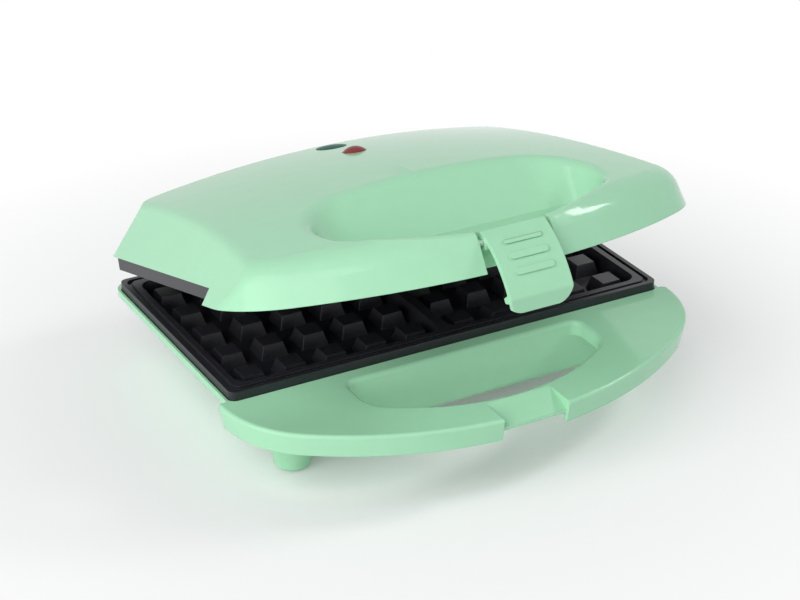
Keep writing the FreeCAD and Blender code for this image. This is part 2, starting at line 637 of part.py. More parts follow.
def waffle_plate(name):
    """One cast plate, its moulds up and its rim at the height of the lower plate."""
    body = new_body(name + "_body")
    flange = new_sketch(body, name + "_flange", level=RIM_TOP)
    rounded_rectangle(flange, "-plate_width / 2", "0", "plate_width", "plate_depth", "plate_corner")
    extrude(body, "Pad", flange, "flange_height", up=False)
    pan = new_sketch(body, name + "_pan", level=RIM_TOP)
    edge = "(rim_width - pan_wall)"
    rounded_rectangle(pan, f"{edge} - plate_width / 2", edge, f"plate_width - 2 * {edge}",
                      f"plate_depth - 2 * {edge}", "mould_corner + pan_wall")
    extrude(body, "Pad", pan, "mould_depth + pan_wall", up=False)
    groove = new_sketch(body, name + "_groove", level=RIM_TOP)
    for step in ("rim_groove_in", "(rim_groove_in + rim_groove_width)"):
        rounded_rectangle(groove, f"{step} - plate_width / 2", step, f"plate_width - 2 * {step}",
                          f"plate_depth - 2 * {step}", "plate_corner")
    extrude(body, "Pocket", groove, "rim_groove_depth", up=False)
    mould = new_sketch(body, name + "_mould", level=RIM_TOP)
    rounded_rectangle(mould, "divider / 2", "rim_width", MOULD_WIDTH, MOULD_LENGTH, "mould_corner")
    pocket = extrude(body, "Pocket", mould, "mould_depth", up=False, taper="-mould_draft")
    mirror(body, name + "_both_moulds", [pocket])

    for side in (-1, 1):
        stud = new_sketch(body, f"{name}_stud_{'left' if side < 0 else 'right'}", level=MOULD_FLOOR)
        pitch_x, pitch_y = f"({MOULD_WIDTH}) / stud_count", f"({MOULD_LENGTH}) / stud_count"
        corner_x = f"{side} * (divider / 2 + {pitch_x} / 2)"
        low, high = f"rim_width + {pitch_y} / 2 - stud_base / 2", f"rim_width + {pitch_y} / 2 + stud_base / 2"
        polygon(stud, [(f"{corner_x} - stud_base / 2", low), (f"{corner_x} + stud_base / 2", low),
                       (f"{corner_x} + stud_base / 2", high), (f"{corner_x} - stud_base / 2", high)])
        pad = extrude(body, "Pad", stud, "stud_height", taper="-stud_draft")
        pattern = body.newObject("PartDesign::LinearPattern", stud.Name + "_grid")
        pattern.Originals = [pad]
        pattern.Direction = (stud, ["H_Axis"])
        pattern.Direction2 = (stud, ["V_Axis"])
        pattern.Reversed = side < 0
        count = int(number("stud_count"))
        pattern.Occurrences, pattern.Occurrences2 = count, count
        bind(pattern, {"Length": f"({MOULD_WIDTH}) - {pitch_x}", "Length2": f"({MOULD_LENGTH}) - {pitch_y}"})
        body.Tip = pattern

    bosses = new_sketch(body, name + "_bosses", level=PAN_BOTTOM)
    pilots = new_sketch(body, name + "_pilots", level=BOSS_BOTTOM)
    for x, y in boss_places():
        circle(bosses, x, y, "boss_radius")
        circle(pilots, x, y, "screw_radius + press_gap")
    extrude(body, "Pad", bosses, "boss_reach", up=False)
    extrude(body, "Pocket", pilots, "screw_bite + fit_gap", up=True)
    return body


def heater(name):
    """A heater tube bent into a loop that lies on the back of a plate, with its two ends at the back."""
    body = new_body(name + "_body")
    path = new_sketch(body, name + "_path", level=TUBE_MIDDLE)
    x, t, f, b, r, e = [number(part) for part in ("heater_x", "heater_tail_x", "heater_front", "heater_back",
                                                   "heater_bend", "heater_tail")]
    route = [segment((-t, b + e), (-t, b + r)), arc((-t - r, b + r), r, 270, 360),
             segment((-t - r, b), (r - x, b)),
             arc((r - x, b - r), r, 90, 180), segment((-x, b - r), (-x, f + r)),
             arc((r - x, f + r), r, 180, 270),
             segment((r - x, f), (x - r, f)), arc((x - r, f + r), r, 270, 360),
             segment((x, f + r), (x, b - r)),
             arc((x - r, b - r), r, 0, 90), segment((x - r, b), (t + r, b)), arc((t + r, b + r), r, 180, 270),
             segment((t, b + r), (t, b + e))]
    clockwise = (1, 11)
    for piece in route:
        path.addGeometry(piece)
    ends = [(END, START) if index in clockwise else (START, END) for index in range(len(route))]
    for index in range(len(route) - 1):
        link(path, "Tangent", index, ends[index][1], index + 1, ends[index + 1][0])
    for index, kind in ((0, "Vertical"), (2, "Horizontal"), (4, "Vertical"), (6, "Horizontal"),
                        (8, "Vertical"),
                        (10, "Horizontal"), (12, "Vertical")):
        link(path, kind, index)
    for index in (3, 5, 7, 9, 11):
        link(path, "Equal", 1, index)
    hold(path, "Radius", (1,), "heater_bend")
    place(path, 0, START, "-heater_tail_x", "heater_back + heater_tail")
    place(path, 12, END, "heater_tail_x", "heater_back + heater_tail")
    place(path, 4, START, x="-heater_x")
    place(path, 8, START, x="heater_x")
    place(path, 6, START, y="heater_front")
    place(path, 2, START, y="heater_back")
    place(path, 10, START, y="heater_back")
    ring = new_sketch(body, name + "_section", role="XZ_Plane", level="-(heater_back + heater_tail)")
    circle(ring, "-heater_tail_x", TUBE_MIDDLE, "heater_radius")
    pipe = body.newObject("PartDesign::AdditivePipe", name + "_tube")
    pipe.Profile = ring
    pipe.Spine = path
    return body


def heater_clips(name):
    """Straps over the heater's long runs, their feet on the back of the plate."""
    straps = []
    for side, front in ((-1, "heater_front"), (1, "heater_front"), (-1, "heater_back"), (1, "heater_back")):
        body = new_body(f"{name}_{len(straps)}_body")
        sketch = new_sketch(body, f"{name}_{len(straps)}", role="YZ_Plane", level=f"{side} * clip_x")
        outer, inner = "(heater_radius + seat_gap + clip_sheet)", "(heater_radius + seat_gap)"
        top, low = f"{PAN_BOTTOM}", f"{PAN_BOTTOM} - 2 * heater_radius - 2 * seat_gap"
        polygon(sketch, [
            (f"{front} - {outer} - clip_foot", top),
            (f"{front} - {outer} - clip_foot", f"{top} - clip_sheet"),
            (f"{front} - {outer}", f"{top} - clip_sheet"), (f"{front} - {outer}", f"{low} - clip_sheet"),
            (f"{front} + {outer}", f"{low} - clip_sheet"), (f"{front} + {outer}", f"{top} - clip_sheet"),
            (f"{front} + {outer} + clip_foot", f"{top} - clip_sheet"),
            (f"{front} + {outer} + clip_foot", top),
            (f"{front} + {inner}", top), (f"{front} + {inner}", low), (f"{front} - {inner}", low),
            (f"{front} - {inner}", top)])
        extrude(body, "Pad", sketch, "clip_width", both=True)
        straps.append(body)
    return group(name + "_group", straps)


def reflector(name):
    """A thin tray under the heater, open towards the plate and held between the bosses and the screws."""
    body = new_body(name + "_body")
    low = f"{BOSS_BOTTOM} - sheet_metal"
    tray = new_sketch(body, name + "_tray", level=low)
    rounded_rectangle(tray, "-reflector_width / 2", "reflector_front", "reflector_width", "reflector_depth",
                      "reflector_corner")
    extrude(body, "Pad", tray, "sheet_metal + reflector_lip")
    dish = new_sketch(body, name + "_dish", level=BOSS_BOTTOM)
    rounded_rectangle(dish, "sheet_metal - reflector_width / 2", "reflector_front + sheet_metal",
                      "reflector_width - 2 * sheet_metal", "reflector_depth - 2 * sheet_metal",
                      "reflector_corner - sheet_metal")
    extrude(body, "Pocket", dish, "reflector_lip", up=True)
    holes = new_sketch(body, name + "_holes", level=low)
    for x, y in boss_places():
        circle(holes, x, y, "screw_radius + fit_gap")
    circle(holes, "0", "thermostat_y", "thermostat_radius + wall")
    extrude(body, "Pocket", holes, "sheet_metal", up=True)
    gates = new_sketch(body, name + "_gates", level=BOSS_BOTTOM)
    back, half = "reflector_front + reflector_depth", "(heater_radius + wall / 2)"
    for side in ("-", ""):
        left, right = f"{side}heater_tail_x - {half}", f"{side}heater_tail_x + {half}"
        polygon(gates, [(left, f"{back} - wall"), (right, f"{back} - wall"), (right, f"{back} + wall"),
                        (left, f"{back} + wall")])
    extrude(body, "Pocket", gates, "reflector_lip", up=True)
    return body


def screws(name, head_level):
    """Four screws that point at the plate, their heads below head_level."""
    made = []
    for index, (x, y) in enumerate(boss_places()):
        head = rod(f"{name}_head_{index}", "screw_head_radius", "screw_head_height",
                   (x, y, f"{head_level} - screw_head_height"))
        shank = rod(f"{name}_shank_{index}", "screw_radius", f"{BOSS_BOTTOM} + screw_bite - ({head_level})",
                    (x, y, head_level))
        made.append(fuse(f"{name}_{index}", [head, shank]))
    return group(name + "_group", made)


# Base pieces

def foot_pads():
    pads = [rod(f"pad_{index}", "pad_radius", "pad_stand + pad_sunk", (x, y, "-shelf_height"))
            for index, (x, y) in enumerate(foot_places())]
    return group("foot_pads_group", pads)


def hinge_pins():
    length = "arm_width + side_gap + lug_width"
    right = rod("pin_right", "pin_radius", length, ("hinge_x", HINGE_Y, PARTING), along="x")
    left = rod("pin_left", "pin_radius", length, (f"-(hinge_x + {length})", HINGE_Y, PARTING), along="x")
    return group("hinge_pins_group", [left, right])


def cord_gland():
    wall_y = "plate_depth + tub_back - tub_back_lean * (gland_drop - rim_height) / (tub_depth - rim_height)"
    neck = rod("gland_neck", "gland_radius", "gland_inside + gland_outside",
               ("0", f"{wall_y} - gland_inside", "-gland_drop"), along="y")
    flange = rod("gland_flange_disc", "gland_flange", "gland_outside - wall",
                 ("0", f"{wall_y} + wall", "-gland_drop"), along="y")
    bore = rod("gland_bore_rod", "gland_bore", "gland_inside + gland_outside",
               ("0", f"{wall_y} - gland_inside", "-gland_drop"), along="y")
    return cut("cord_gland_cut", fuse("gland_solid", [neck, flange]), bore)


def terminal_block():
    front = "reflector_front + reflector_depth + 2 * fit_gap"
    base = block("terminal_base", ("terminal_width", "terminal_depth", "terminal_height"),
                 ("terminal_x", front, TUB_FLOOR))
    holes = [rod(f"terminal_hole_{i}", "terminal_width / 12", "terminal_depth",
                 (f"terminal_x + (2 * {i} + 1) * terminal_width / 6", front,
                  f"{TUB_FLOOR} + terminal_height / 2"),
                 along="y") for i in (0, 1, 2)]
    return cut("terminal_block_cut", base, fuse("terminal_holes", holes))


# Lid

def lid_form(name, inset):
    """The lid's outer form, or the space inside it: bowed plan, leaning walls, crowned roof, facets."""
    body = new_body(name)
    plan = new_sketch(body, name + "_plan", level="apron_bottom")
    bowed_front(plan, f"lid_half_width - {inset}", f"apron_reach - {inset}", f"apron_side_radius - {inset}",
                f"lid_back - {inset}")
    extrude(body, "Pad", plan, "roof_height", taper="-apron_draft")
    roof = new_sketch(body, name + "_roof", role="YZ_Plane", lift="roof_height - roof_cross_radius")
    crest, radius = f"roof_cross_radius - {inset}", f"roof_long_radius - {inset}"
    front, back, above = "-2 * apron_reach", "2 * lid_back", "roof_cross_radius + 2 * roof_height"
    y0, y1, yc, zc, big, top = [number(part) for part in (front, back, "roof_crest", crest, radius, above)]
    ends = [zc - big + math.sqrt(big ** 2 - (y - yc) ** 2) for y in (y0, y1)]
    spans = [math.degrees(math.acos((y - yc) / big)) for y in (y1, y0)]
    roof.addGeometry(arc((yc, zc - big), big, *spans))
    roof.addGeometry(segment((y1, ends[1]), (y1, top)))
    roof.addGeometry(segment((y1, top), (y0, top)))
    roof.addGeometry(segment((y0, top), (y0, ends[0])))
    for a, pa, b, pb in ((0, START, 1, START), (1, END, 2, START), (2, END, 3, START), (3, END, 0, END)):
        link(roof, "Coincident", a, pa, b, pb)
    for side, kind in ((1, "Vertical"), (2, "Horizontal"), (3, "Vertical")):
        link(roof, kind, side)
    place(roof, 0, MIDDLE, "roof_crest", f"{crest} - ({radius})")
    hold(roof, "Radius", (0,), radius)
    place(roof, 2, START, back, above)
    place(roof, 2, END, x=front)
    groove = body.newObject("PartDesign::Groove", name + "_crown")
    groove.Profile = roof
    groove.ReferenceAxis = (roof, ["H_Axis"])
    groove.Angle = 90
    groove.Midplane = True
    limit = number("apron_bottom") + 1
    back_face = number(f"lid_back - {inset}") - number("roof_height")

    def crown_edge(edge):
        box = edge.BoundBox
        return box.ZMin > limit and box.YMin < back_face
    round_edges(body, name + "_blend", crown_edge, f"crown_blend - {inset}")

    facet = new_sketch(body, name + "_facet", role="XZ_Plane")
    slope = f"(facet_x - {inset} / cos(facet_lean)"
    high = "2 * roof_height"
    polygon(facet, [(f"{slope} + side_lift * tan(facet_lean))", "0"), ("2 * lid_half_width", "0"),
                    ("2 * lid_half_width", high),
                    (f"{slope} - ({high} - side_lift) * tan(facet_lean))", high)])
    pocket = extrude(body, "Pocket", facet, "4 * lid_back", both=True)
    mirror(body, name + "_both_facets", [pocket])
    lean, side = math.radians(number("facet_lean")), number(slope + ")")

    def facet_edge(edge):
        ends = [vertex.Point for vertex in edge.Vertexes] + [edge.valueAt(sum(edge.ParameterRange) / 2)]
        planes = [abs(side - (p.z - number("side_lift")) * math.tan(lean) - abs(p.x)) for p in ends]
        return max(planes) < 0.01 and edge.BoundBox.ZMax > limit
    round_edges(body, name + "_facet_edge", facet_edge, f"facet_round - {inset}")
    return body


def scoop_form(name, grow, flare):
    """The hand hole's space: upright up to its waist, then flared up and back."""
    body = new_body(name)
    waist = []
    for step, level in (("_foot", "0"), ("_waist", "scoop_waist")):
        sketch = new_sketch(body, name + step, level=level)
        hand_outline(sketch, f"scoop_half_width + {grow}", f"{grow} - slot_back", f"slot_front + {grow}",
                     f"slot_front_radius + {grow}", f"slot_front_corner + {grow}",
                     f"scoop_back_corner + {grow}")
        waist.append(sketch)
    top = new_sketch(body, name + "_top", level="scoop_top")
    hand_outline(top, f"scoop_top_half_width + {flare}", f"scoop_top_back + {flare}",
                 f"scoop_top_front + {grow}",
                 f"scoop_top_front_radius + {flare}", f"scoop_top_corner + {flare}",
                 f"scoop_top_corner + {flare}")
    extrude(body, "Pad", waist[0], "scoop_waist")
    loft(body, "AdditiveLoft", name + "_flare", [waist[1], top])
    return body


def seat_ribs():
    """Ribs inside the lid's sides that stand on the upper plate's rim."""
    ribs = []
    for y in ("boss_front", "boss_back"):
        for left in ("-facet_x", "plate_width / 2 - rib_inset"):
            ribs.append(block(f"rib_{len(ribs)}",
                              ("facet_x - plate_width / 2 + rib_inset", "rib_width", "roof_height"),
                              (left, f"{y} - rib_width / 2", f"{PARTING} + parting_gap / 2 + flange_height")))
    return ribs


def hinge_arms():
    arms = []
    for side, level in (("right", "hinge_x"), ("left", "-(hinge_x + arm_width)")):
        body = new_body(f"arm_{side}")
        sketch = new_sketch(body, f"arm_{side}_profile", role="YZ_Plane", level=level)
        knuckle_profile(sketch, "plate_depth + fit_gap",
                        f"{PARTING} + parting_gap / 2 + flange_height + fit_gap",
                        "side_lift + 2 * knuckle_radius")
        extrude(body, "Pad", sketch, "arm_width")
        bore = new_sketch(body, f"arm_{side}_bore", role="YZ_Plane", level=level)
        circle(bore, HINGE_Y, PARTING, "pin_radius + running_gap")
        extrude(body, "Pocket", bore, "arm_width", up=True)
        arms.append(body)
    return arms


def round_rim(name, pierced, outer, hole):
    """Rounds the hand hole's rim: wide at the back, tighter along the handle bar."""
    doc.recompute()
    skin, wall = outer.Shape.Shells[0], hole.Shape.Shells[0]
    front, back = -number("slot_front"), number("slot_back")
    edges = []
    for index, edge in enumerate(pierced.Shape.Edges, start=1):
        points = [Part.Vertex(edge.valueAt(t)) for t in edge.ParameterRange]
        points.append(Part.Vertex(edge.valueAt(sum(edge.ParameterRange) / 2)))
        if edge.BoundBox.ZMin < number("scoop_waist"):
            continue
        if max(max(p.distToShape(skin)[0], p.distToShape(wall)[0]) for p in points) > 0.01:
            continue
        shares = [min(max((p.Point.y - front) / (back - front), 0), 1) for p in points[:2]]
        edges.append((index, *[number("bar_round") + share * number("scoop_rim - bar_round")
                               for share in shares]))
    rounded = doc.addObject("Part::Fillet", name)
    rounded.Base = pierced
    rounded.Edges = edges
    return rounded


def lid_housing():
    outer = lid_form("lid_outer", "0")
    inner = lid_form("lid_inner", "wall")
    hole = scoop_form("hand_hole", "0", "0")
    hole_wall = scoop_form("hand_hole_wall", "wall", "flare_wall")
    step = block("side_step", ("4 * lid_half_width", "2 * lid_back", "side_lift"),
                 ("-2 * lid_half_width", "apron_step", "0"))
    pierced = round_rim("lid_rim", cut("lid_pierced", outer, hole), outer, hole)
    shell = cut("lid_shell", pierced, cut("lid_space", inner, hole_wall))
    stepped = cut("lid_stepped", shell, step)
    ribs = doc.addObject("Part::MultiCommon", "seat_ribs")
    ribs.Shapes = [outer, fuse("rib_blocks", seat_ribs())]
    cheeks = [block(f"cheek_{i}", ("cheek", "wall + 2 * barrel_radius", "2 * barrel_radius + wall"),
                    (x, "-pivot_reach - barrel_radius", "pivot_height - barrel_radius - wall"))
              for i,
              x in enumerate(("latch_width / 2 + latch_gap", "-(latch_width / 2 + latch_gap + cheek)"))]
    held = doc.addObject("Part::MultiCommon", "latch_cheeks")
    held.Shapes = [outer, fuse("cheek_blocks", cheeks)]
    notch = block("bar_notch", ("latch_width + 2 * latch_gap", "apron_reach", "2 * roof_height"),
                  ("-(latch_width / 2 + latch_gap)",
                   "-(pivot_reach - barrel_radius - fit_gap) - apron_reach", "0"))
    pin_hole = rod("latch_pin_hole", "latch_pin_radius + press_gap",
                   "latch_width + 2 * latch_gap + 2 * cheek",
                   ("-(latch_width / 2 + latch_gap + cheek)", "-pivot_reach", "pivot_height"), along="x")
    lights = [rod(f"{which}_light_hole", f"{which}_lens_radius + press_gap", "2 * roof_height",
                  ("0", f"{which}_lens_y", "roof_height / 2")) for which in ("ready", "power")]
    ribbed = fuse("lid_ribbed", [fuse("lid_cheeked", [stepped, held]), ribs])
    joined = fuse("lid_joined", [ribbed] + hinge_arms())
    opened = cut("lid_opened", joined, fuse("lid_cuts", [notch, pin_hole]))
    return cut("lid_housing_cut", opened, fuse("light_holes", lights))


def lens(which):
    """A coloured lens: a capped body through the roof, a flange under it and a hollow stem."""
    y, radius, stand = f"{which}_lens_y", f"{which}_lens_radius", f"{which}_lens_stand"
    under = "roof_height - wall - fit_gap"
    body = rod(f"{which}_body", radius, "wall + fit_gap + lens_flange", ("0", y, f"{under} - lens_flange"))
    cap = doc.addObject("Part::Sphere", f"{which}_cap")
    ball = f"(({radius}) ^ 2 + ({stand}) ^ 2) / (2 * {stand})"
    bind(cap, {"Radius": ball, "Placement.Base.y": y, "Placement.Base.z": f"roof_height + {stand} - {ball}"})
    column = rod(f"{which}_column", radius, stand, ("0", y, "roof_height"))
    dome_part = doc.addObject("Part::MultiCommon", f"{which}_dome")
    dome_part.Shapes = [cap, column]
    flange = rod(f"{which}_flange", f"{radius} + lens_flange", "lens_flange",
                 ("0", y, f"{under} - lens_flange"))
    stem = rod(f"{which}_stem", "lamp_radius + lens_flange", "lens_stem", ("0", y, f"{under} - lens_stem"))
    solid = fuse(f"{which}_solid", [body, dome_part, flange, stem])
    hollow = rod(f"{which}_hollow", "lamp_radius + fit_gap", "lens_stem", ("0", y, f"{under} - lens_stem"))
    return cut(f"{which}_lens_cut", solid, hollow)


def neon_lamps():
    level = "roof_height - wall - 2 * fit_gap - lamp_length"
    return group("neon_lamps_group",
                 [rod(f"{which}_lamp", "lamp_radius", "lamp_length", ("0", f"{which}_lens_y", level))
                                      for which in ("ready", "power")])


def thermostat():
    """A bimetal thermostat, drawn under the plate as the lower one would be."""
    can = rod("thermostat_can", "thermostat_radius", "thermostat_height",
              ("0", "thermostat_y", f"{PAN_BOTTOM} - thermostat_height"))
    ear = block("thermostat_ear", ("3 * thermostat_radius", "thermostat_radius", "clip_sheet"),
                ("-1.5 * thermostat_radius", "thermostat_y - thermostat_radius / 2",
                 f"{PAN_BOTTOM} - clip_sheet"))
    tabs = [block(f"thermostat_tab_{i}", ("clip_sheet", "thermostat_radius / 2", "thermostat_radius"),
                  (f"{i} * thermostat_radius / 2", "thermostat_y - thermostat_radius / 4",
                   f"{PAN_BOTTOM} - thermostat_height - thermostat_radius / 2")) for i in (-1, 1)]
    return fuse("thermostat_fuse", [can, ear] + tabs)


def thermal_fuse():
    level = f"{PAN_BOTTOM} - seat_gap - fuse_radius"
    body = rod("fuse_can", "fuse_radius", "fuse_length",
               ("-fuse_x", "thermostat_y - fuse_length / 2", level), along="y")
    lead = rod("fuse_leads", "fuse_radius / 4", "2 * fuse_length",
               ("-fuse_x", "thermostat_y - fuse_length", level), along="y")
    return fuse("thermal_fuse_fuse", [body, lead])


def tongue(name, skin):
    """The latch's bowed face in its hooked place, thickened by skin on the outside."""
    body = new_body(name)
    sketch = new_sketch(body, name + "_profile", role="YZ_Plane")
    middle = "latch_bow - latch_sheet - fit_gap - notch_lip"
    inner, outer, top = "latch_bow - latch_sheet", f"latch_bow + {skin}", "pivot_height + latch_top"
    y, z, a, b, t = [number(part) for part in (middle, HOOK, inner, outer, top)]
    first, last = [180 - math.degrees(math.asin((t - z) / radius)) for radius in (a, b)]
    tips = [(y - math.sqrt(radius ** 2 - (t - z) ** 2), t) for radius in (a, b)]
    sketch.addGeometry(arc((y, z), b, last, 180))
    sketch.addGeometry(segment((y - b, z), (y - a, z)))
    sketch.addGeometry(arc((y, z), a, first, 180))
    sketch.addGeometry(segment(tips[0], tips[1]))
    for one, one_end, other, other_end in ((0, END, 1, START), (1, END, 2, END), (2, START, 3, START),
                                           (3, END, 0, START)):
        link(sketch, "Coincident", one, one_end, other, other_end)
    for bend, radius in ((0, outer), (2, inner)):
        place(sketch, bend, MIDDLE, middle, HOOK)
        hold(sketch, "Radius", (bend,), radius)
        place(sketch, bend, START, y=top)
    link(sketch, "Horizontal", 1)
    place(sketch, 1, START, y=HOOK)
    extrude(body, "Pad", sketch, "latch_width", both=True)
    return body


def latch_clip():
    """The latch in its hooked place: barrel on the pin, bowed face with grip ribs, hook and finger tab."""
    body = tongue("latch_clip_body", "0")
    hook = new_sketch(body, "latch_hook", role="YZ_Plane")
    face, back = "-notch_lip - fit_gap - latch_sheet", "-notch_lip - fit_gap"
    low = f"{HOOK} - latch_tab"
    polygon(hook, [(face, HOOK), (face, f"{HOOK} - latch_sheet"), (f"{face} + latch_tab_in", low),
                   (f"{face} + latch_tab_in + latch_sheet / 2", f"{low} + latch_sheet"),
                   (f"{back} + hook_slope", f"{HOOK} - 1.5 * latch_sheet"),
                   ("-notch_lip + hook_reach", f"{HOOK} - hook_slope - latch_sheet"),
                   ("-notch_lip + hook_reach", f"{HOOK} - hook_slope"), (back, HOOK)])
    extrude(body, "Pad", hook, "latch_width", both=True)
    round_edges(body, "latch_bend", bend_edge, "latch_sheet")
    eye = new_sketch(body, "latch_eye", role="YZ_Plane")
    circle(eye, "-pivot_reach", "pivot_height", "barrel_radius")
    extrude(body, "Pad", eye, "latch_width", both=True)
    bore = new_sketch(body, "latch_bore", role="YZ_Plane")
    circle(bore, "-pivot_reach", "pivot_height", "latch_pin_radius + running_gap")
    extrude(body, "Pocket", bore, "latch_width", both=True)

    front = new_body("latch_front")
    view = new_sketch(front, "latch_front_view", role="XZ_Plane", level="0")
    rounded_rectangle(view, "-latch_width / 2", low, "latch_width", "4 * latch_tab + pivot_height",
                      "latch_corner")
    extrude(front, "Pad", view, "2 * apron_reach", up=True)
    trimmed = doc.addObject("Part::MultiCommon", "latch_trimmed")
    trimmed.Shapes = [body, front]

    bars = []
    for index in range(int(number("grip_count"))):
        level = f"pivot_height - grip_top - {index} * grip_pitch"
        half = "(grip_length / 2 - grip_width / 2)"
        bars.append(block(f"grip_{index}", (f"2 * {half}", "apron_reach", "grip_width"),
                          (f"-{half}", "-2 * apron_reach", f"{level} - grip_width / 2")))
        for side in ("-", ""):
            bars.append(rod(f"grip_{index}_end_{len(bars)}", "grip_width / 2", "apron_reach",
                            (f"{side}{half}", "-2 * apron_reach", level), along="y"))
    grips = doc.addObject("Part::MultiCommon", "latch_grips")
    grips.Shapes = [tongue("grip_skin", "grip_raise"), fuse("grip_bars", bars)]
    return fuse("latch_clip_fuse", [trimmed, grips])


def bend_edge(edge):
    """Whether an edge is the outer bend between the latch's face and its finger tab."""
    box = edge.BoundBox
    return (abs(box.ZMin - number(f"{HOOK} - latch_sheet")) < 0.01 and box.ZLength < 0.01
            and abs(box.YMin + number("notch_lip + fit_gap + latch_sheet")) < 0.01)


def latch_pin():
    pin = rod("latch_pin_rod", "latch_pin_radius", "latch_width + 2 * latch_gap + 2 * cheek",
              ("-(latch_width / 2 + latch_gap + cheek)", "-pivot_reach", "pivot_height"), along="x")
    return group("latch_pin_group", [pin])


def turned(y, z, degrees):
    """A turn about a line along X through y and z: positive lifts the front."""
    spin = FreeCAD.Rotation(Vector(-1, 0, 0), degrees)
    return FreeCAD.Placement(Vector(), spin, Vector(0, y, z))


def main():
    front_to_middle = number(f"({HINGE_Y} + knuckle_radius - shelf_reach) / 2")
    stand = FreeCAD.Placement(Vector(0, -front_to_middle, number("shelf_height")), FreeCAD.Rotation())
    lid = stand * turned(number(HINGE_Y), number(PARTING), number("lid_open"))
    over = lid * FreeCAD.Placement(Vector(0, 0, 2 * number(PARTING)), FreeCAD.Rotation(Vector(0, 1, 0), 180))
    latch = lid * turned(-number("pivot_reach"), number("pivot_height"), number("latch_swing"))
    head = f"{BOSS_BOTTOM} - sheet_metal"
    nodes = {
        "base_housing": (base_housing(), stand),
        "lower_plate": (waffle_plate("lower_plate"), stand),
        "lower_heater": (heater("lower_heater"), stand),
        "lower_heater_clips": (heater_clips("lower_heater_clips"), stand),
        "lower_reflector": (reflector("lower_reflector"), stand),
        "lower_plate_screws": (screws("lower_plate_screws", f"{head} - wall"), stand),
        "foot_pads": (foot_pads(), stand),
        "hinge_pins": (hinge_pins(), stand),
        "cord_gland": (cord_gland(), stand),
        "terminal_block": (terminal_block(), stand),
        "lid_housing": (lid_housing(), lid),
        "upper_plate": (waffle_plate("upper_plate"), over),
        "upper_heater": (heater("upper_heater"), over),
        "upper_heater_clips": (heater_clips("upper_heater_clips"), over),
        "upper_reflector": (reflector("upper_reflector"), over),
        "upper_plate_screws": (screws("upper_plate_screws", head), over),
        "thermostat": (thermostat(), over),
        "thermal_fuse": (thermal_fuse(), over),
        "ready_lens": (lens("ready"), lid),
        "power_lens": (lens("power"), lid),
        "neon_lamps": (neon_lamps(), lid),
        "latch_pin": (latch_pin(), lid),
        "latch_clip": (latch_clip(), latch),
    }
    for label, (thing, where) in nodes.items():
        thing.Label = label
        thing.Placement = where
    doc.recompute()
    for thing in doc.Objects:
        if "Invalid" in thing.State or "Error" in thing.State:
            raise RuntimeError(f"{thing.Name} failed: {thing.State}")
    os.makedirs("parts", exist_ok=True)
    for label, (thing, where) in nodes.items():
        shape = thing.Shape
        if shape.isNull() or not shape.isValid():
            raise RuntimeError(f"{label} has no valid shape")
        shape.exportStep(os.path.join("parts", label + ".step"))
        print(label, len(shape.Solids), round(shape.Volume), shape.BoundBox)


main()
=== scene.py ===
# %% [markdown]
# A waffle maker in gloss mint plastic, with black non-stick plates, a domed lid that stands a
# little open and a latch that hangs from its handle bar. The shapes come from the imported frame,
# in metres, and every piece already rides on its own body. This lesson gives each surface its
# finish, lights the part softly and sets the camera at the photograph's viewing angle.

# %% Load the frame
import math

import bpy
from mathutils import Matrix, Vector

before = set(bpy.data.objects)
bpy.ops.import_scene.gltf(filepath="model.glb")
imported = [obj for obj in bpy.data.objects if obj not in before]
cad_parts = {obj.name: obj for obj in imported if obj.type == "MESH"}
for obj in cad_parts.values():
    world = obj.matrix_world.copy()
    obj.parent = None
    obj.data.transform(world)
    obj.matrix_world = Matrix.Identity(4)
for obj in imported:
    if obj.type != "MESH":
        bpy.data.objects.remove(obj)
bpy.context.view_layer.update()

# %% [markdown]
# The camera stands to the left of the front and looks down on the part with a long lens, as a
# product photographer does to keep the lid's edges from spreading. It could be set by hand in the
# viewport. Here its place follows from the point it aims at, its two angles and its distance, so
# that each of them can be changed by itself.

# %% Camera
AIM = Vector((0.00275, 0.01591, 0.03627))
AZIMUTH, ELEVATION = math.radians(29.11), math.radians(27.13)
DISTANCE = 1.02479
LENS_MM, SENSOR_MM = 96.31, 36.0
FARTHEST_SEEN = 20.0


def stand_camera():
    """Places the camera on its sphere round the aim, level, and makes it the scene's camera."""
    level = math.cos(ELEVATION)
    forward = Vector((math.sin(AZIMUTH) * level, math.cos(AZIMUTH) * level, -math.sin(ELEVATION)))
    right = forward.cross(Vector((0, 0, 1))).normalized()
    up = right.cross(forward)
    data = bpy.data.cameras.new("camera")
    data.lens, data.sensor_width, data.sensor_fit = LENS_MM, SENSOR_MM, "HORIZONTAL"
    data.clip_end = FARTHEST_SEEN
    camera = bpy.data.objects.new("camera", data)
    turn = Matrix((right, up, -forward)).transposed().to_4x4()
    camera.matrix_world = Matrix.Translation(AIM - forward * DISTANCE) @ turn
    bpy.context.scene.collection.objects.link(camera)
    bpy.context.scene.camera = camera
    return camera


camera = stand_camera()
print("camera at", [round(value, 3) for value in camera.matrix_world.translation])

# %% [markdown]
# Every finish is a small node tree around one Principled shader. Pictures of real surfaces could
# give their unevenness, but a noise needs no file and shows no seams. It moves the colour, the
# roughness and a slight bump, because moulded, cast and coated surfaces are never perfectly even.
# Edges that a mould leaves a few tenths of a millimetre round catch a thin line of light, which
# the Bevel node gives without more faces.

# %% Finish helper
NOISE_DETAIL = 4.0
TONE_STOPS = (0.3, 0.7)
GLOSS_SPREAD = (0.85, 1.15)
BUMP_HEIGHT = 0.0002
EDGE_ROUND, EDGE_SAMPLES = 0.0004, 4


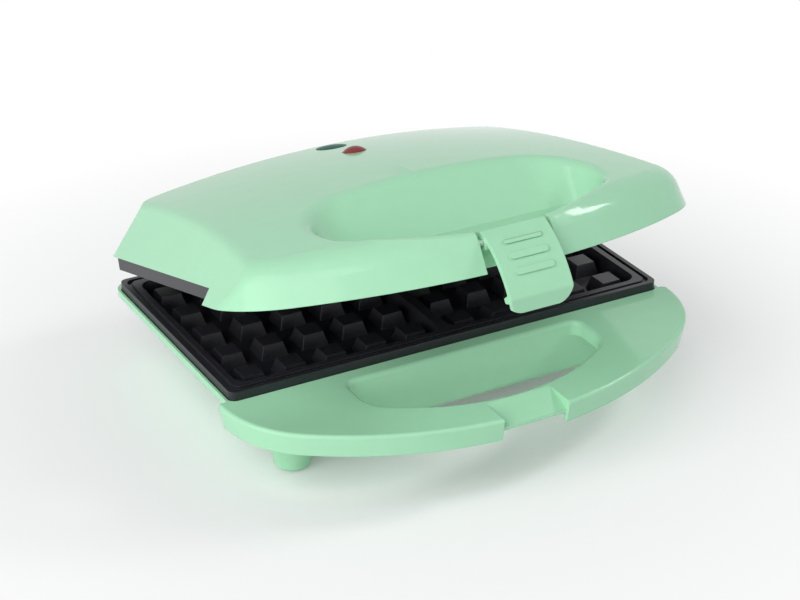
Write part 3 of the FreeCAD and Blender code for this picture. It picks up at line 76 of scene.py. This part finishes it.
def finish_of(name, colour, roughness, grain_scale=400.0, grain=0.0, vary=0.04, soft_edge=False,
              **sockets):
    """A Principled finish with a little noise in it. Other sockets are given by their names.

    The grain is the strength of the bump, and only a finish with grain can have a soft edge.
    """
    material = bpy.data.materials.new(name)
    material.use_nodes = True
    nodes, links = material.node_tree.nodes, material.node_tree.links
    shader = nodes["Principled BSDF"]
    for socket, value in sockets.items():
        shader.inputs[socket].default_value = value
    place = nodes.new("ShaderNodeTexCoord")
    noise = nodes.new("ShaderNodeTexNoise")
    noise.inputs["Scale"].default_value = grain_scale
    noise.inputs["Detail"].default_value = NOISE_DETAIL
    links.new(place.outputs["Object"], noise.inputs["Vector"])
    tone = nodes.new("ShaderNodeValToRGB")
    for stop, at, scale in zip(tone.color_ramp.elements, TONE_STOPS, (1.0 - vary, 1.0 + vary)):
        stop.position = at
        stop.color = [min(channel * scale, 1.0) for channel in colour] + [1.0]
    links.new(noise.outputs["Fac"], tone.inputs["Fac"])
    links.new(tone.outputs["Color"], shader.inputs["Base Color"])
    gloss = nodes.new("ShaderNodeMapRange")
    for end, share in zip(("To Min", "To Max"), GLOSS_SPREAD):
        gloss.inputs[end].default_value = roughness * share
    links.new(noise.outputs["Fac"], gloss.inputs["Value"])
    links.new(gloss.outputs["Result"], shader.inputs["Roughness"])
    if grain:
        bump = nodes.new("ShaderNodeBump")
        bump.inputs["Strength"].default_value = grain
        bump.inputs["Distance"].default_value = BUMP_HEIGHT
        links.new(noise.outputs["Fac"], bump.inputs["Height"])
        links.new(bump.outputs["Normal"], shader.inputs["Normal"])
        if soft_edge:
            edge = nodes.new("ShaderNodeBevel")
            edge.samples = EDGE_SAMPLES
            edge.inputs["Radius"].default_value = EDGE_ROUND
            links.new(edge.outputs["Normal"], bump.inputs["Normal"])
    return material


def wear(material, *names):
    """Gives the named nodes their finish in place of the frame's plain one."""
    for name in names:
        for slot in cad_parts[name].material_slots:
            slot.link = "OBJECT"
            slot.material = material
    print(material.name, "on", ", ".join(names))


# %% [markdown]
# The two housings and the latch are moulded in one mint plastic, polished in the mould, so the
# gloss is clear and the bump is only the faint waviness of a thin wall. A clear coat over a duller
# base could give such a gloss, but one smooth layer is what the plastic is. Its index is a little
# low, which keeps the lid's top from turning white where the camera sees it at a flat angle.

# %% Mint housings
mint = finish_of("mint_gloss", (0.37, 0.70, 0.46), 0.12, grain_scale=120.0, grain=0.02, vary=0.01,
                 soft_edge=True, IOR=1.3)
wear(mint, "base_housing", "lid_housing", "latch_clip")

# %% [markdown]
# The waffle plates are die-cast aluminium with a sprayed non-stick coat. The coat is nearly black,
# satin, and has a fine speckle that a close look shows. It covers the metal, so the finish is a
# dark paint and not a metal with a tint.

# %% Non-stick plates
nonstick = finish_of("nonstick_black", (0.014, 0.014, 0.019), 0.38, grain_scale=900.0, grain=0.25,
                     vary=0.3, soft_edge=True)
wear(nonstick, "lower_plate", "upper_plate")

# %% [markdown]
# The metal that isn't coated is of three kinds: zinc-plated steel on screws, pins and straps, the
# dark oxide of the heaters' sheaths, and the bright sheet of the trays that throw the heat back to
# the plates. Each could have a tree of its own, but colour and roughness are enough to tell them
# apart.

# %% Metal pieces
zinc = finish_of("zinc_plate", (0.60, 0.61, 0.62), 0.30, grain=0.05, Metallic=1.0)
wear(zinc, "lower_plate_screws", "upper_plate_screws", "hinge_pins", "latch_pin")
wear(zinc, "lower_heater_clips", "upper_heater_clips", "thermal_fuse")
sheath = finish_of("heater_oxide", (0.20, 0.18, 0.17), 0.45, grain=0.1, Metallic=1.0)
wear(sheath, "lower_heater", "upper_heater")
bright = finish_of("bright_sheet", (0.78, 0.79, 0.80), 0.22, grain=0.04, Metallic=1.0)
wear(bright, "lower_reflector", "upper_reflector")

# %% [markdown]
# The feet stand on pads of soft green rubber, dull and slightly rough. The cord's inlet bush and
# the thermostat are black plastic, and the terminal block is nylon in its natural cream. Nylon
# lets a little light through, but the block is out of sight, so a plain surface is enough.

# %% Rubber, bush and insulators
rubber = finish_of("pad_rubber", (0.25, 0.50, 0.33), 0.65, grain=0.2)
wear(rubber, "foot_pads")
black_plastic = finish_of("black_plastic", (0.02, 0.02, 0.02), 0.4, grain=0.1)
wear(black_plastic, "cord_gland", "thermostat")
nylon = finish_of("natural_nylon", (0.70, 0.68, 0.60), 0.4, grain=0.05)
wear(nylon, "terminal_block")

# %% [markdown]
# Both lights are off. Their lenses could be clear coloured glass, but thick unlit ones look like
# dark gloss plastic, and so they are made. The green lens lies nearly flush and the camera sees it
# at a very flat angle, so its index is low, or it would mirror the backdrop and lose its colour.
# The red lens is domed.

# %% Lenses and lamps
green_lens = finish_of("lens_green", (0.0, 0.10, 0.06), 0.3, vary=0.02, IOR=1.1)
wear(green_lens, "ready_lens")
red_lens = finish_of("lens_red", (0.22, 0.03, 0.03), 0.12, vary=0.02, IOR=1.3)
wear(red_lens, "power_lens")
lamp_glass = finish_of("lamp_glass", (0.8, 0.6, 0.5), 0.05, vary=0.02)
wear(lamp_glass, "neon_lamps")

# %% [markdown]
# A sheet of white paper lies under the part, as on a photographer's table. More light could make
# it white, but it would bleach the part too. Instead, rays from the camera, and the mirror images
# of them in gloss and glass, see the paper fade to plain white away from the part. Near the part
# it is matt paper that keeps the soft shadow.

# %% Paper floor
FLOOR_HALF = 4.0
SHADOW_REACH, WHITE_REACH = 0.10, 0.32
LEAST_WHITE = 0.15
PAPER_COLOUR, PAPER_ROUGHNESS = (0.93, 0.93, 0.93, 1), 0.9
PLAIN_WHITE = (1, 1, 1, 1)


def shown(tree):
    """A socket that is 1 for what the camera sees, straight or in a gloss or glass surface."""
    path = tree.nodes.new("ShaderNodeLightPath")
    straight, any_way = tree.nodes.new("ShaderNodeMath"), tree.nodes.new("ShaderNodeMath")
    straight.operation = any_way.operation = "MAXIMUM"
    tree.links.new(path.outputs["Is Camera Ray"], straight.inputs[0])
    tree.links.new(path.outputs["Is Glossy Ray"], straight.inputs[1])
    tree.links.new(straight.outputs["Value"], any_way.inputs[0])
    tree.links.new(path.outputs["Is Transmission Ray"], any_way.inputs[1])
    return any_way.outputs["Value"]


def paper_finish():
    """Matt white paper that turns into a plain white backdrop with distance."""
    paper = bpy.data.materials.new("paper")
    paper.use_nodes = True
    tree = paper.node_tree
    nodes, links = tree.nodes, tree.links
    matt = nodes["Principled BSDF"]
    matt.inputs["Base Color"].default_value = PAPER_COLOUR
    matt.inputs["Roughness"].default_value = PAPER_ROUGHNESS
    matt.inputs["Specular IOR Level"].default_value = 0.0
    white = nodes.new("ShaderNodeEmission")
    white.inputs["Color"].default_value = PLAIN_WHITE
    place = nodes.new("ShaderNodeTexCoord")
    away = nodes.new("ShaderNodeVectorMath")
    away.operation = "LENGTH"
    links.new(place.outputs["Object"], away.inputs[0])
    fade = nodes.new("ShaderNodeMapRange")
    fade.inputs["From Min"].default_value = SHADOW_REACH
    fade.inputs["From Max"].default_value = WHITE_REACH
    fade.inputs["To Min"].default_value = LEAST_WHITE
    links.new(away.outputs["Value"], fade.inputs["Value"])
    share = nodes.new("ShaderNodeMath")
    share.operation = "MULTIPLY"
    links.new(fade.outputs["Result"], share.inputs[0])
    links.new(shown(tree), share.inputs[1])
    mix = nodes.new("ShaderNodeMixShader")
    links.new(share.outputs["Value"], mix.inputs["Fac"])
    links.new(matt.outputs["BSDF"], mix.inputs[1])
    links.new(white.outputs["Emission"], mix.inputs[2])
    links.new(mix.outputs["Shader"], nodes["Material Output"].inputs["Surface"])
    return paper


def lay_floor():
    """One square of paper at height 0, which belongs to the stage and not to the part."""
    mesh = bpy.data.meshes.new("floor")
    turns = ((-1, -1), (1, -1), (1, 1), (-1, 1))
    corners = [(FLOOR_HALF * side, FLOOR_HALF * end, 0) for side, end in turns]
    mesh.from_pydata(corners, [], [range(len(corners))])
    mesh.materials.append(paper_finish())
    floor = bpy.data.objects.new("floor", mesh)
    bpy.context.scene.collection.objects.link(floor)


lay_floor()
print("floor of", 2 * FLOOR_HALF, "m a side")

# %% [markdown]
# A large soft box high on the left is the main light. It is far and wide, so that its image in the
# gloss plastic stays faint. A small one on the right draws the window-like glint along the handle
# bar beside the latch. A third lamp could fill the shadows, but it would add a glint of its own,
# so a pale sky does that.

# %% Lights
SKY_COLOUR, SKY_STRENGTH = (0.93, 0.96, 1.0, 1), 0.27
KEY = {"place": (-1.5, -0.68, 1.05), "aim": (0, 0, 0.05), "size": 2.2, "power": 43.0}
WINDOW = {"place": (0.98, -0.3, 0.86), "aim": (0, 0, 0.1), "size": 0.28, "power": 5.0}


def hang_light(name, place, aim, size, power):
    """A square soft box that shines from its place at its aim."""
    data = bpy.data.lights.new(name, "AREA")
    data.shape, data.size, data.energy = "SQUARE", size, power
    light = bpy.data.objects.new(name, data)
    light.location = place
    light.rotation_euler = (Vector(aim) - Vector(place)).to_track_quat("-Z", "Y").to_euler()
    bpy.context.scene.collection.objects.link(light)


def open_sky():
    """A pale sky that lights the part, and that the camera sees as plain white."""
    world = bpy.data.worlds.new("studio")
    world.use_nodes = True
    nodes, links = world.node_tree.nodes, world.node_tree.links
    soft = nodes["Background"]
    soft.inputs["Color"].default_value = SKY_COLOUR
    soft.inputs["Strength"].default_value = SKY_STRENGTH
    white = nodes.new("ShaderNodeBackground")
    white.inputs["Color"].default_value = PLAIN_WHITE
    mix = nodes.new("ShaderNodeMixShader")
    links.new(shown(world.node_tree), mix.inputs["Fac"])
    links.new(soft.outputs["Background"], mix.inputs[1])
    links.new(white.outputs["Background"], mix.inputs[2])
    links.new(mix.outputs["Shader"], nodes["World Output"].inputs["Surface"])
    bpy.context.scene.world = world


open_sky()
hang_light("key", **KEY)
hang_light("window", **WINDOW)
bpy.context.scene.view_settings.view_transform = "Standard"
